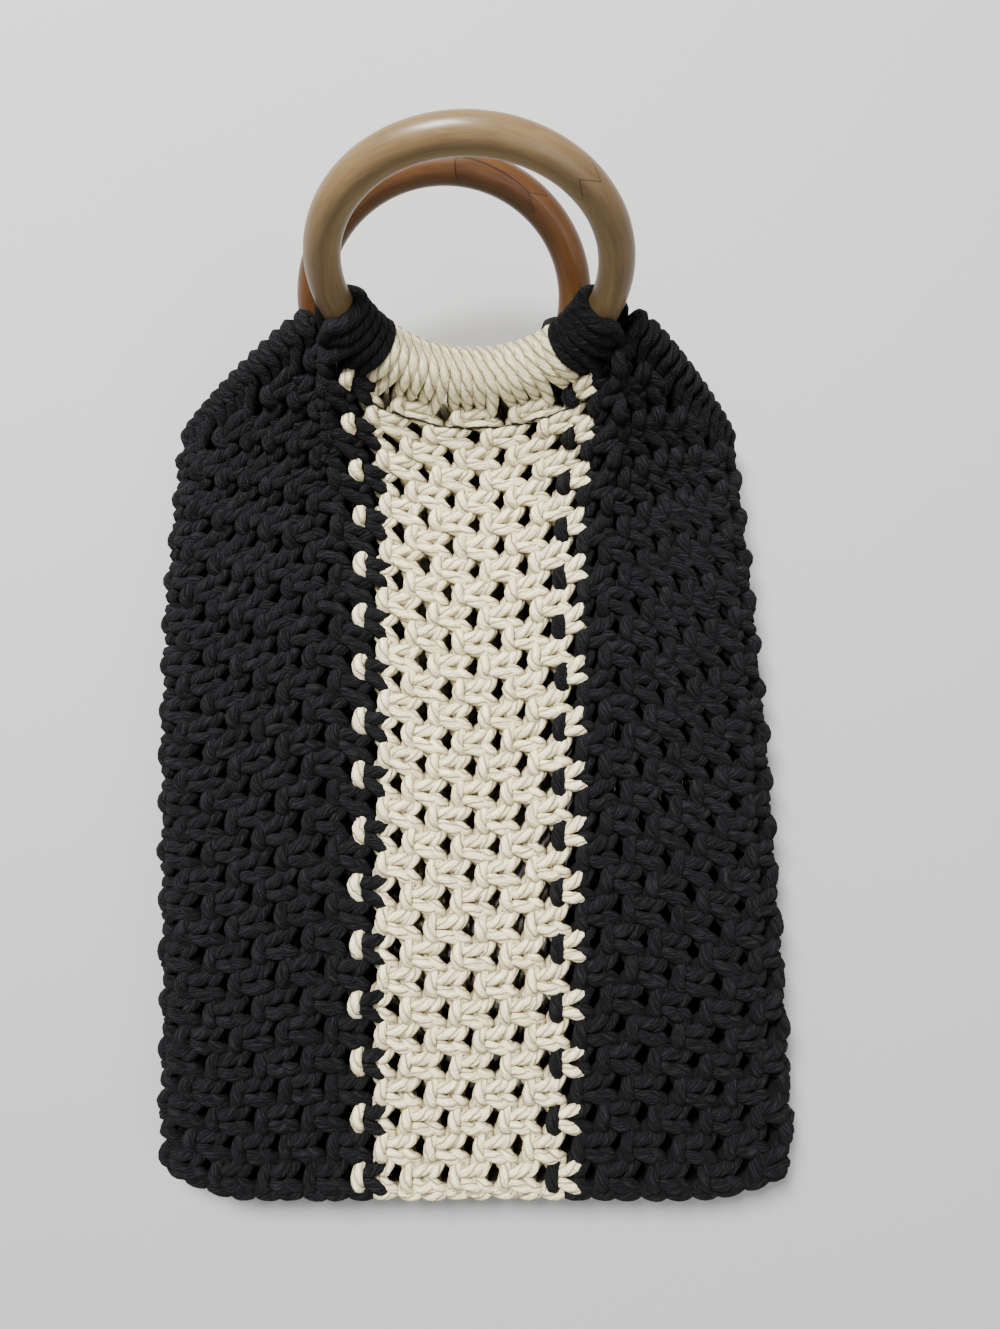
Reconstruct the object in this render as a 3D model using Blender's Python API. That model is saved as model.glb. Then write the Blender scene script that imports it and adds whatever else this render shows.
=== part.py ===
"""Macrame bag with two round wooden ring handles, lying flat on its back.

The bag is one knotted tube of cord, cream down its middle and black down both sides, closed along the bottom
and open at the top, where its cords are looped over the rings and over a rolled cord on each slanting shoulder.
X is to the bag's right, Y towards the rings and Z up. The tube's wall follows two numbers: how many knots round
the tube a point is, counted from the middle of the front, and how far up the wall it is, from 0 to 1.
"""

import math
from collections import namedtuple
from functools import lru_cache

import bmesh
import bpy
import numpy as np

# Cord, wall and gaps
CORD = 0.005
WALL = 0.012
HOLLOW = 0.012
BOTTOM_HOLLOW = 0.002
GAP = 0.0003
RIM_GAP = 0.0012
SEAM_GAP = 0.0006
WALL_GAP = 0.0006
ROLL_RADIUS = 0.0065

# Knots: each takes four cords
KNOT_PITCH = 0.0226
CREAM_KNOTS = 4
BLACK_KNOTS = 9
MIXED_ROWS = 16
ROW_GROWTH = 0.0145
HOLE_WIDTH = 0.0044
HOLE_HEIGHT = 0.0058
CORDS_PER_KNOT = 4

# Rings, and the cords looped over them
RING_OUTER = 0.127
RING_WIRE = 0.0142
WRAP_PITCH = 0.0055
BLACK_WRAPS = 5

# The body, lying down
BODY_LENGTH = 0.356
BODY_WIDTH = 0.2984
BOTTOM_Y = -0.2282
BOTTOM_TAPER = 0.10
SEAM_DEPTH = 0.0065
BOTTOM_CORNER_RISE = 0.014
BOTTOM_CORNER_LENGTH = 0.045

# Handles: where the lowest point of each ring's middle line is, ahead of the shoulder corners, and how the ring
# leans back from upright. The front ring stands on the bag's thickness, the back ring on the ground.
Handle = namedtuple("Handle", "bottom_x ahead lift tilt turn")
HANDLES = {
    "front": Handle(-0.0008, 0.0220, 2 * WALL + HOLLOW, math.radians(62.5), 0.0),
    "back": Handle(-0.0072, 0.0100, 0.0, math.radians(42.0), math.radians(7.5)),
}
# How far below the rim the wall bends down to lie flat: more where the rim is higher
CREASE = 0.028
CREASE_PER_RISE = 1.05
LEAST_CREASE = 0.020
CREASE_BLEND = 0.006
RUN_PER_CREASE = 0.75
ROLL_START_BELOW = math.radians(22)
ROLL_OUTWARD = 0.034
ROLL_INTO_CORNER = 0.023
RIM_LEAD = 0.010

# The body's outline: a row for each station, from the bottom edge (0) to the shoulder corner (1), with how far
# the body's own middle and the cream's middle lie to the right there
Section = namedtuple("Section", "along half_width shift cream_shift")
SECTIONS = (
    Section(0.00, 0.990, 0.000, -0.011),
    Section(0.10, 1.000, 0.001, -0.011),
    Section(0.28, 0.972, -0.004, -0.008),
    Section(0.46, 0.958, -0.012, -0.006),
    Section(0.62, 0.944, -0.019, -0.004),
    Section(0.80, 0.914, -0.026, -0.002),
    Section(1.00, 0.862, -0.029, 0.003),
)

# The seam's rounded profile: shares of its depth towards the bottom, and of half its height
Rounding = namedtuple("Rounding", "back rise")
SEAM_PROFILE = (
    Rounding(0.00, 1.00),
    Rounding(-0.55, 0.96),
    Rounding(-1.00, 0.50),
    Rounding(-1.00, -0.50),
    Rounding(-0.55, -0.96),
    Rounding(0.00, -1.00),
)

# Colours and finish
CREAM = (0.66, 0.54, 0.38)
BLACK = (0.020, 0.022, 0.028)
OLIVE_WOOD = (0.34, 0.19, 0.08)
ORANGE_WOOD = (0.42, 0.17, 0.06)
CORD_ROUGHNESS = 0.95
WOOD_ROUGHNESS = 0.35

# Where a black side's mesh has its columns: shares of the way from the cream to the bag's side
SIDE_COLUMNS = (0.0, 0.065, 0.13, 0.23, 0.35, 0.48, 0.58, 0.66, 0.74, 0.80, 0.84, 0.872, 0.915, 0.958, 1.0)
COLUMN_SAMPLES = 48
RIM_SAMPLES = 24
KNOT_NUDGE = 0.08
RIM_NUDGE = 0.02
HEIGHT_NUDGE = 0.004
SHARE_NUDGE = 0.001
RING_SEGMENTS = 32
WRAP_SEGMENT = math.radians(7.5)
TUBE_SIDES = 10
ROLL_SIDES = 8
ROLL_STEPS = 14
SHARP_ANGLE = math.radians(40)
STEEP = 0.8
UPWARDS = np.array([0.0, 0.0, 1.0])
TOWARDS_RINGS = np.array([0.0, 1.0, 0.0])

ROWS = 2 * MIXED_ROWS - 1
CREAM_HALF = CREAM_KNOTS / 2
SIDE = CREAM_HALF + BLACK_KNOTS / 2
ROUND = 2 * (CREAM_KNOTS + BLACK_KNOTS)
THICKNESS = 2 * WALL + HOLLOW
BOTTOM_THICKNESS = 2 * WALL + BOTTOM_HOLLOW
CORNER_Y = BOTTOM_Y + BODY_LENGTH
RING_RADIUS = (RING_OUTER - RING_WIRE) / 2
WRAP_INNER = RING_WIRE / 2 + GAP
WRAP_OUTER = WRAP_INNER + CORD
WRAP_STEP = WRAP_PITCH / RING_RADIUS
KNOT_STEP = CORDS_PER_KNOT * WRAP_STEP
WRAP_END = CREAM_HALF * KNOT_STEP + BLACK_WRAPS * WRAP_STEP
HALF_GAP_KNOTS = WALL_GAP / KNOT_PITCH / 2
QUARTER = math.pi / 2


def unit(vector):
    return vector / np.linalg.norm(vector)


def bezier(points, share):
    """A Bezier curve of any degree through its first and last points."""
    points = np.array(points, float)
    while len(points) > 1:
        points = points[:-1] + (points[1:] - points[:-1]) * share
    return points[0]


def clear_scene():
    for obj in list(bpy.data.objects):
        bpy.data.objects.remove(obj)


def make_material(name, colour, roughness):
    material = bpy.data.materials.new(name)
    material.use_nodes = True
    shader = material.node_tree.nodes["Principled BSDF"]
    shader.inputs["Base Color"].default_value = (*colour, 1.0)
    shader.inputs["Roughness"].default_value = roughness
    shader.inputs["Metallic"].default_value = 0.0
    return material


def add_object(name, bm, material):
    bmesh.ops.recalc_face_normals(bm, faces=bm.faces)
    mesh = bpy.data.meshes.new(name)
    bm.to_mesh(mesh)
    bm.free()
    mesh.materials.append(material)
    mesh.shade_smooth()
    mesh.set_sharp_from_angle(angle=SHARP_ANGLE)
    obj = bpy.data.objects.new(name, mesh)
    bpy.context.scene.collection.objects.link(obj)
    return obj


# Rings and the paths along the mouth


def ring_axes(handle):
    """The centre of a ring, and the two directions that its circle lies in."""
    across = np.array([math.cos(handle.turn), math.sin(handle.turn), 0.0])
    flat_up = np.array([-math.sin(handle.turn), math.cos(handle.turn), 0.0])
    up = flat_up * math.cos(handle.tilt) + UPWARDS * math.sin(handle.tilt)
    bottom = np.array([handle.bottom_x, CORNER_Y + handle.ahead, WRAP_OUTER + GAP + handle.lift])
    return bottom + RING_RADIUS * up, across, up


def ring_direction(handle, from_bottom):
    """Outwards in the ring's plane, at an angle from its lowest point, positive to the right."""
    _, across, up = ring_axes(handle)
    return across * math.sin(from_bottom) - up * math.cos(from_bottom)


def ring_point(handle, from_bottom):
    return ring_axes(handle)[0] + RING_RADIUS * ring_direction(handle, from_bottom)


def corner_point(name, side):
    """The middle of the rolled edge where it meets the other one at the shoulder's corner."""
    half_width, shift, _ = outline(CORNER_Y)
    to_gap = GAP / 2 if name == "front" else -GAP / 2
    x = shift + side * (half_width - WALL / 2)
    return np.array([x, CORNER_Y, THICKNESS / 2 + to_gap])


def roll_path(name, side, share):
    """The middle line of the rolled shoulder edge, from the ring's wraps (0) to the corner (1)."""
    handle = HANDLES[name]
    angle = side * (QUARTER - ROLL_START_BELOW)
    outward = ring_direction(handle, angle)
    start = ring_point(handle, angle) + outward * (WRAP_OUTER + GAP)
    corner = corner_point(name, side)
    into = UPWARDS * (ROLL_INTO_CORNER if name == "front" else -ROLL_INTO_CORNER)
    return bezier([start, start + outward * ROLL_OUTWARD, corner + into, corner], share)


# The tube's wall


def outline(y):
    """Half the body's width, and how far its middle and the cream's lie to the right, at a station."""
    along = (y - BOTTOM_Y) / BODY_LENGTH
    at = [section.along for section in SECTIONS]
    half_width = np.interp(along, at, [section.half_width for section in SECTIONS])
    shift = np.interp(along, at, [section.shift for section in SECTIONS])
    cream_shift = np.interp(along, at, [section.cream_shift for section in SECTIONS])
    return half_width * BODY_WIDTH / 2, shift * BODY_WIDTH, cream_shift * BODY_WIDTH


def thickness(y):
    rise = np.clip((y - BOTTOM_Y - SEAM_DEPTH - BOTTOM_CORNER_RISE) / BOTTOM_TAPER, 0.0, 1.0)
    return BOTTOM_THICKNESS + (THICKNESS - BOTTOM_THICKNESS) * rise * rise * (3 - 2 * rise)


def section_point(name, side, knots, y):
    """The middle of the wall at a station, some knots to one side of the front's or the back's middle."""
    half_width, shift, cream_shift = outline(y)
    deep = thickness(y)
    turn_radius = (deep - WALL) / 2
    turn_x = half_width - deep / 2
    cream_x = side * (cream_shift - shift)
    if knots <= CREAM_HALF:
        x, z = cream_x + knots * KNOT_PITCH, turn_radius
    else:
        cream_edge = cream_x + CREAM_HALF * KNOT_PITCH
        flat = turn_x - cream_edge
        length = (knots - CREAM_HALF) / (SIDE - CREAM_HALF) * (flat + QUARTER * turn_radius)
        angle = max(length - flat, 0.0) / turn_radius
        x = turn_x + turn_radius * math.sin(angle) if length > flat else cream_edge + length
        z = turn_radius * math.cos(angle)
    return np.array([shift + side * x, y, deep / 2 + (z if name == "front" else -z)])


def bottom_y(side, knots):
    """Where the wall ends above the seam: its corners are rounded off."""
    _, shift, _ = outline(BOTTOM_Y)
    half_width, _, _ = outline(BOTTOM_Y + BOTTOM_TAPER)
    x = abs(section_point("front", side, knots, BOTTOM_Y + BOTTOM_TAPER)[0] - shift)
    corner = np.clip((x - half_width + BOTTOM_CORNER_LENGTH) / BOTTOM_CORNER_LENGTH, 0.0, 1.0)
    return BOTTOM_Y + SEAM_DEPTH + GAP + BOTTOM_CORNER_RISE * corner**2


def rim_middle(name, side, knots):
    """What the wall hangs from: its middle line's point, and how far the wall's edge stays from it."""
    handle = HANDLES[name]
    beside_roll = math.asin((ROLL_RADIUS + RIM_GAP) / (RING_RADIUS + WRAP_OUTER))
    last_on_ring = (QUARTER - ROLL_START_BELOW - beside_roll) / KNOT_STEP
    if knots <= last_on_ring:
        return ring_point(handle, side * knots * KNOT_STEP), WRAP_OUTER + RIM_GAP
    share = (knots - last_on_ring) / (SIDE - last_on_ring)
    return roll_path(name, side, share), ROLL_RADIUS + RIM_GAP


def column(knots_round):
    """Points up the middle of the wall, from the seam to the rim, some knots round the tube."""
    knots_round = (knots_round + ROUND / 2) % ROUND - ROUND / 2
    side = 1 if knots_round >= 0 else -1
    knots = abs(knots_round)
    name = "front" if knots <= SIDE else "back"
    knots = knots if name == "front" else ROUND / 2 - knots
    middle, away = rim_middle(name, side, knots)
    rise = middle[2] - ring_point(HANDLES[name], 0.0)[2]
    wanted = CREASE + CREASE_PER_RISE * rise
    crease = (wanted + LEAST_CREASE + math.hypot(wanted - LEAST_CREASE, CREASE_BLEND)) / 2
    bend = section_point(name, side, knots, middle[1] - crease)
    flat_y = bend[1] - crease * RUN_PER_CREASE
    flat = section_point(name, side, knots, flat_y)
    # The wall leaves square to what it hangs from.
    along = unit(middle - rim_middle(name, side, knots - RIM_NUDGE)[0])
    leaving = unit((bend - middle) - along * np.dot(bend - middle, along))
    edge = middle + leaving * away
    lowest = bottom_y(side, knots)
    below = [section_point(name, side, knots, y) for y in np.linspace(lowest, flat_y, COLUMN_SAMPLES)[:-1]]
    curve = [flat, bend, edge + leaving * RIM_LEAD, edge]
    above = [bezier(curve, share) for share in np.linspace(0.0, 1.0, RIM_SAMPLES)]
    points = np.array(below + above)
    # The ground holds the wall up.
    points[:, 2] = np.maximum(points[:, 2], WALL / 2)
    return points


@lru_cache(maxsize=None)
def measured_column(knots_round):
    """A column's points, and the share of its length that each is at."""
    points = column(knots_round)
    steps = np.linalg.norm(np.diff(points, axis=0), axis=1)
    return points, np.concatenate([[0.0], np.cumsum(steps)]) / steps.sum()


def wall_middle(knots_round, height):
    points, lengths = measured_column(knots_round)
    return np.array([np.interp(height, lengths, points[:, axis]) for axis in range(3)])


def wall_point(knots_round, height, out):
    """A point at some distance outwards from the middle of the wall."""
    across = wall_middle(knots_round + KNOT_NUDGE, height) - wall_middle(knots_round - KNOT_NUDGE, height)
    low, high = max(height - HEIGHT_NUDGE, 0.0), min(height + HEIGHT_NUDGE, 1.0)
    upwards = wall_middle(knots_round, high) - wall_middle(knots_round, low)
    return wall_middle(knots_round, height) + out * unit(np.cross(across, upwards))


def row_height(row):
    """The height up the wall of a row of knots, counted down from 0 at the top; rows grow towards the bottom."""
    def down(rows):
        return rows * (1 + ROW_GROWTH * rows / 2)

    return 1 - down(row + 0.5) / down(ROWS)


def add_wall(name, places, faces, material):
    """A wall from its plan: places in knots and height, and faces that run anticlockwise seen from outside."""
    bm = bmesh.new()
    outer = [bm.verts.new(wall_point(knots, height, WALL / 2)) for knots, height in places]
    inner = [bm.verts.new(wall_point(knots, height, -WALL / 2)) for knots, height in places]
    edges = {(a, b) for face in faces for a, b in zip(face, face[1:] + face[:1])}
    for face in faces:
        bm.faces.new([outer[i] for i in face])
        bm.faces.new([inner[i] for i in reversed(face)])
    for a, b in sorted(edges):
        if (b, a) in edges:
            continue
        # Each edge's strip is split the same way on both of two walls that meet, so that their gap holds.
        low, high = (a, b) if places[a][1] <= places[b][1] else (b, a)
        bm.faces.new((outer[low], inner[low], inner[high]))
        bm.faces.new((outer[low], inner[high], outer[high]))
    add_object(name, bm, material)


def make_wall(name, columns, material):
    """A plain stretch of wall between its first and last columns, with a line at every other row of knots."""
    heights = [0.0, *(row_height(row) for row in range(ROWS - 1, -1, -2)), 1.0]
    lines = len(heights)
    places = [(knots, height) for knots in columns for height in heights]
    faces = []
    for left in range(0, len(places) - lines, lines):
        for i in range(left, left + lines - 1):
            faces.append([i, i + lines, i + lines + 1, i + 1])
    add_wall(name, places, faces, material)


def make_pierced_panel(name, material):
    """The cream front: a diamond for each gap between knots, with the gap itself cut through its middle.

    The diamonds' corners are the knots. Even rows have a knot on each edge of the panel, odd rows lie between.
    """
    places, faces, corners = [], [], {}
    last_row = ROWS - 1
    edge = CREAM_HALF - HALF_GAP_KNOTS
    hole_across = HOLE_WIDTH / 2 / KNOT_PITCH
    hole_down = HOLE_HEIGHT / 2 * ROWS / BODY_LENGTH

    def add_place(knots, row):
        places.append((float(np.clip(knots, -edge, edge)), row_height(row)))
        return len(places) - 1

    def corner(knots, row):
        if (knots, row) not in corners:
            corners[knots, row] = add_place(knots, row)
        return corners[knots, row]

    for row in range(ROWS):
        starts = -CREAM_HALF + (0.5 if row % 2 == 0 else 0.0)
        for k in range(CREAM_KNOTS + row % 2):
            knots = starts + k
            around = [(knots - 0.5, row), (knots, row + 1), (knots + 0.5, row), (knots, row - 1)]
            outer = [corner(x, y) for x, y in around if abs(x) <= CREAM_HALF and 0 <= y <= last_row]
            if len(outer) < len(around):
                faces.append(outer)
                continue
            inner = [
                add_place(knots - hole_across, row),
                add_place(knots, row + hole_down),
                add_place(knots + hole_across, row),
                add_place(knots, row - hole_down),
            ]
            for i in range(4):
                j = (i + 1) % 4
                faces.append([outer[i], outer[j], inner[j], inner[i]])
    low, high = last_row + 0.5, -0.5
    for k in range(CREAM_KNOTS):
        left, right = k - CREAM_HALF, k + 1 - CREAM_HALF
        faces.append([corner(left, low), corner(right, low), corner(right, last_row), corner(left, last_row)])
        rim = [corner(right, high), corner((left + right) / 2, high), corner(left, high)]
        faces.append([corner(left, 0), corner(right, 0)] + rim)
    add_wall(name, places, faces, material)


# Closed tubes


def skin(bm, loops):
    """Joins loops of as many points each, one after another, and returns the rings of vertices."""
    rings = [[bm.verts.new(point) for point in loop] for loop in loops]
    count = len(rings[0])
    for first, second in zip(rings, rings[1:]):
        for i in range(count):
            j = (i + 1) % count
            bm.faces.new((first[i], first[j], second[j], second[i]))
    return rings


def circle(middle, along, radius, sides):
    """Points round a circle that faces along a direction."""
    along = unit(along)
    other = unit(np.cross(along, UPWARDS if abs(along[2]) < STEEP else TOWARDS_RINGS))
    third = np.cross(along, other)
    angles = [2 * math.pi * (i + 0.5) / sides for i in range(sides)]
    return [middle + radius * (math.cos(a) * other + math.sin(a) * third) for a in angles]


def make_ring(name, handle, material):
    bm = bmesh.new()
    centre, across, up = ring_axes(handle)
    normal = np.cross(across, up)
    loops = []
    for i in range(RING_SEGMENTS):
        outward = ring_direction(handle, 2 * math.pi * i / RING_SEGMENTS)
        angles = [2 * math.pi * (k + 0.5) / TUBE_SIDES for k in range(TUBE_SIDES)]
        middle = centre + RING_RADIUS * outward
        loops.append([middle + RING_WIRE / 2 * (math.cos(a) * outward + math.sin(a) * normal) for a in angles])
    rings = skin(bm, loops)
    for i in range(TUBE_SIDES):
        j = (i + 1) % TUBE_SIDES
        bm.faces.new((rings[-1][i], rings[-1][j], rings[0][j], rings[0][i]))
    add_object(name, bm, material)


def make_wrap(name, handle, first, last, material):
    """A sleeve of cord round part of a ring, from one angle to another."""
    bm = bmesh.new()
    steps = math.ceil((last - first) / WRAP_SEGMENT)
    _, across, up = ring_axes(handle)
    normal = np.cross(across, up)
    half_gap = GAP / 2 / RING_RADIUS
    sleeve = []
    for radius in (WRAP_OUTER, WRAP_INNER):
        loops = []
        for angle in np.linspace(first + half_gap, last - half_gap, steps + 1):
            outward = ring_direction(handle, angle)
            middle = ring_point(handle, angle)
            angles = [2 * math.pi * (k + 0.5) / TUBE_SIDES for k in range(TUBE_SIDES)]
            # A flat-sided sleeve is widened, so that its flats still clear the ring's corners.
            reach = radius / (math.cos(math.pi / TUBE_SIDES) if radius == WRAP_INNER else 1.0)
            loops.append([middle + reach * (math.cos(a) * outward + math.sin(a) * normal) for a in angles])
        sleeve.append(skin(bm, loops))
    outer, inner = sleeve
    for end in (0, -1):
        for i in range(TUBE_SIDES):
            j = (i + 1) % TUBE_SIDES
            bm.faces.new((outer[end][i], outer[end][j], inner[end][j], inner[end][i]))
    add_object(name, bm, material)


def make_roll(name, which, side, material):
    """The rolled edge of one slanting shoulder, from the ring's wraps to the corner."""
    bm = bmesh.new()
    loops = []
    for share in np.linspace(0.0, 1.0, ROLL_STEPS + 1):
        before = roll_path(which, side, max(share - SHARE_NUDGE, 0.0))
        after = roll_path(which, side, min(share + SHARE_NUDGE, 1.0))
        loops.append(circle(roll_path(which, side, share), after - before, ROLL_RADIUS, ROLL_SIDES))
    aligned = [loops[0]]
    for loop in loops[1:]:
        turns = [np.roll(loop, k, axis=0) for k in range(ROLL_SIDES)]
        aligned.append(min(turns, key=lambda turned: np.linalg.norm(turned - aligned[-1])))
    rings = skin(bm, aligned)
    bm.faces.new(rings[0])
    bm.faces.new(rings[-1])
    add_object(name, bm, material)


def make_seam(name, columns, material):
    """The knotted edge that closes the bottom, along some of the wall's front columns."""
    bm = bmesh.new()
    loops = []
    for knots in columns:
        behind = math.copysign(ROUND / 2 - abs(knots), knots)
        high, low = wall_point(knots, 0.0, WALL / 2), wall_point(behind, 0.0, WALL / 2)
        x, y = high[0], high[1] - SEAM_GAP
        middle, half = (high[2] + low[2]) / 2, (high[2] - low[2]) / 2
        loops.append([(x, y + back * SEAM_DEPTH, middle + rise * half) for back, rise in SEAM_PROFILE])
    rings = skin(bm, loops)
    bm.faces.new(rings[0])
    bm.faces.new(rings[-1])
    add_object(name, bm, material)


def side_columns(side):
    """The columns of one black side, from the front's cream edge round to the back's."""
    reach = SIDE - CREAM_HALF
    front = [CREAM_HALF + reach * share for share in SIDE_COLUMNS]
    back = [ROUND / 2 - knots for knots in reversed(front[:-1])]
    columns = front + back
    columns[0] += HALF_GAP_KNOTS
    columns[-1] -= HALF_GAP_KNOTS
    return columns if side > 0 else [-knots for knots in reversed(columns)]


def middle_columns(middle):
    """The columns of the cream, about the middle of the front (0) or of the back (half of the way round)."""
    columns = [middle - CREAM_HALF + k / 2 for k in range(2 * CREAM_KNOTS + 1)]
    columns[0] += HALF_GAP_KNOTS
    columns[-1] -= HALF_GAP_KNOTS
    return columns


def build():
    clear_scene()
    cream = make_material("cream_cord", CREAM, CORD_ROUGHNESS)
    black = make_material("black_cord", BLACK, CORD_ROUGHNESS)
    woods = {
        "front": make_material("front_ring_wood", OLIVE_WOOD, WOOD_ROUGHNESS),
        "back": make_material("back_ring_wood", ORANGE_WOOD, WOOD_ROUGHNESS),
    }
    make_pierced_panel("panel_cream_front", cream)
    make_wall("panel_cream_back", middle_columns(ROUND / 2), cream)
    cream_end = CREAM_HALF * KNOT_STEP
    make_seam("seam_cream", middle_columns(0), cream)
    for side, word in ((-1, "left"), (1, "right")):
        make_wall(f"side_black_{word}", side_columns(side), black)
        seam = [knots for knots in side_columns(side) if abs(knots) < SIDE]
        make_seam(f"seam_black_{word}", seam, black)
    for which, handle in HANDLES.items():
        make_ring(f"ring_{which}", handle, woods[which])
        make_wrap(f"wrap_cream_{which}", handle, -cream_end, cream_end, cream)
        for side, word in ((-1, "left"), (1, "right")):
            angles = sorted((side * cream_end, side * WRAP_END))
            make_wrap(f"wrap_black_{which}_{word}", handle, *angles, black)
            make_roll(f"shoulder_{which}_{word}", which, side, black)


build()
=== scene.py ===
"""The looks of a macrame bag with two round wooden ring handles, lying flat on its back.

Every cord of the bag is modelled: it is looped over a ring or over a rolled shoulder, runs through one
square knot in each row, and ends in the bottom edge. A point on the bag's wall is given by knots round the
tube, counted from the middle of the front, and by rows of knots, counted from the top.
"""

import math
from collections import namedtuple

import bpy
import numpy as np
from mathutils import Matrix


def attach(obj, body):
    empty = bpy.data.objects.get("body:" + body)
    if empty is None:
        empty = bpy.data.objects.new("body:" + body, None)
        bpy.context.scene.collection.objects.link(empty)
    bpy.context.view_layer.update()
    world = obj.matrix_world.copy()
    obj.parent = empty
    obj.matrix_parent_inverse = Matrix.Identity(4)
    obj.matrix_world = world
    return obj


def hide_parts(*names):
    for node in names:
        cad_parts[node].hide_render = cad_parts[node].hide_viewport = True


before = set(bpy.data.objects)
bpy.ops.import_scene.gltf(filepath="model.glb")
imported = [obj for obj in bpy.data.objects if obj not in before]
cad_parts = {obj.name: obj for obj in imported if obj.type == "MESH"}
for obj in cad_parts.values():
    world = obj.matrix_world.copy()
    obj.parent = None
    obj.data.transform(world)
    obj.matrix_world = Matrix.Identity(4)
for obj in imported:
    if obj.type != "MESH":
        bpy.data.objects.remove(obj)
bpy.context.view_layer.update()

SEED = 7

# Sizes of the bag, as its solids have them. Only ROLL_OUTWARD and ROLL_INTO_CORNER, which curve the rolled
# shoulders, are smaller here, because the photo's shoulders are nearly straight.
CORD = 0.005
WALL = 0.012
HOLLOW = 0.012
BOTTOM_HOLLOW = 0.002
GAP = 0.0003
RIM_GAP = 0.0012
ROLL_RADIUS = 0.0065
KNOT_PITCH = 0.0226
CREAM_KNOTS = 4
BLACK_KNOTS = 9
MIXED_ROWS = 16
ROW_GROWTH = 0.0145
CORDS_PER_KNOT = 4
RING_OUTER = 0.127
RING_WIRE = 0.0142
WRAP_PITCH = 0.0055
BLACK_WRAPS = 5
BODY_LENGTH = 0.356
BODY_WIDTH = 0.2984
BOTTOM_Y = -0.2282
BOTTOM_TAPER = 0.10
SEAM_DEPTH = 0.0065
BOTTOM_CORNER_RISE = 0.014
BOTTOM_CORNER_LENGTH = 0.045
Handle = namedtuple("Handle", "bottom_x ahead lift tilt turn")
HANDLES = {
    "front": Handle(-0.0008, 0.0220, 2 * WALL + HOLLOW, math.radians(62.5), 0.0),
    "back": Handle(-0.0072, 0.0100, 0.0, math.radians(42.0), math.radians(7.5)),
}
CREASE = 0.028
CREASE_PER_RISE = 1.05
LEAST_CREASE = 0.020
CREASE_BLEND = 0.006
RUN_PER_CREASE = 0.75
ROLL_START_BELOW = math.radians(22)
ROLL_OUTWARD = 0.012
ROLL_INTO_CORNER = 0.010
RIM_LEAD = 0.010
Section = namedtuple("Section", "along half_width shift cream_shift")
SECTIONS = (
    Section(0.00, 0.990, 0.000, -0.011),
    Section(0.10, 1.000, 0.001, -0.011),
    Section(0.28, 0.972, -0.004, -0.008),
    Section(0.46, 0.958, -0.012, -0.006),
    Section(0.62, 0.944, -0.019, -0.004),
    Section(0.80, 0.914, -0.026, -0.002),
    Section(1.00, 0.862, -0.029, 0.003),
)

# Sizes that follow from those
ROWS = 2 * MIXED_ROWS - 1
CREAM_HALF = CREAM_KNOTS / 2
SIDE = CREAM_HALF + BLACK_KNOTS / 2
ROUND = 2 * (CREAM_KNOTS + BLACK_KNOTS)
THICKNESS = 2 * WALL + HOLLOW
BOTTOM_THICKNESS = 2 * WALL + BOTTOM_HOLLOW
CORNER_Y = BOTTOM_Y + BODY_LENGTH
RING_RADIUS = (RING_OUTER - RING_WIRE) / 2
WRAP_OUTER = RING_WIRE / 2 + GAP + CORD
KNOT_STEP = CORDS_PER_KNOT * WRAP_PITCH / RING_RADIUS
QUARTER = math.pi / 2

# Columns of knots, counted round the tube from the front's middle. The black ones lie on both sides of it,
# below zero on the left.
CREAM_FRONT_COLUMNS = np.arange(-1.5, 2.0)
CREAM_BACK_COLUMNS = np.arange(11.5, 15.0)
BLACK_FRONT_COLUMNS = np.arange(2.5, 7.0)
BLACK_BACK_COLUMNS = np.arange(7.5, 11.0)

# How finely the wall's middle surface and the rings are worked out
COLUMNS_PER_KNOT = 16
HEIGHTS = 640
COLUMN_SAMPLES = 96
RIM_SAMPLES = 64
RIM_NUDGE = 0.02
NORMAL_BLUR = 9
RING_SEGMENTS = 160
RING_SIDES = 32

# Cords as modelled. Their ends shrink to END_SHRINK of their radius. A cord that starts steeper than STEEP
# takes its first frame from X in place of Z.
CORD_SIDES = 7
CREAM_RADIUS = 0.00262
BLACK_RADIUS = 0.00292
CORE_RADIUS = 0.0022
END_SHRINK = 0.02
STEEP = 0.8
STEPS_PER_BEND = 2
LOOP_OUT = RING_WIRE / 2 + CORD / 2
ROLL_LOOP_OUT = ROLL_RADIUS - CORD / 2
# The bends of a loop: turns in degrees from straight down to the rim, positive outwards, and depths in cord
# diameters. Each cord starts inside the bag, just below the rim.
LOOP_TURNS = (-40, -75, -110, -145, 180, 145, 110, 80, 50)
LOOP_DEPTHS = (-0.7, -0.5, -0.1, 0.5, 1, 1, 1, 1, 1)
LOOP_START_ROW = 0.2
LOOP_START_OUT = -0.7
LOOPS_ON_RING = (CREAM_KNOTS * CORDS_PER_KNOT / 2 + BLACK_WRAPS) / CORDS_PER_KNOT
PAIR_CLOSER = 0.02
LOOP_SWELL = 0.14
# How far bends and whole knots stray, as standard deviations: in cord diameters, and in knots and rows
WANDER = 0.05
SHIFT_KNOT = 0.016

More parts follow.
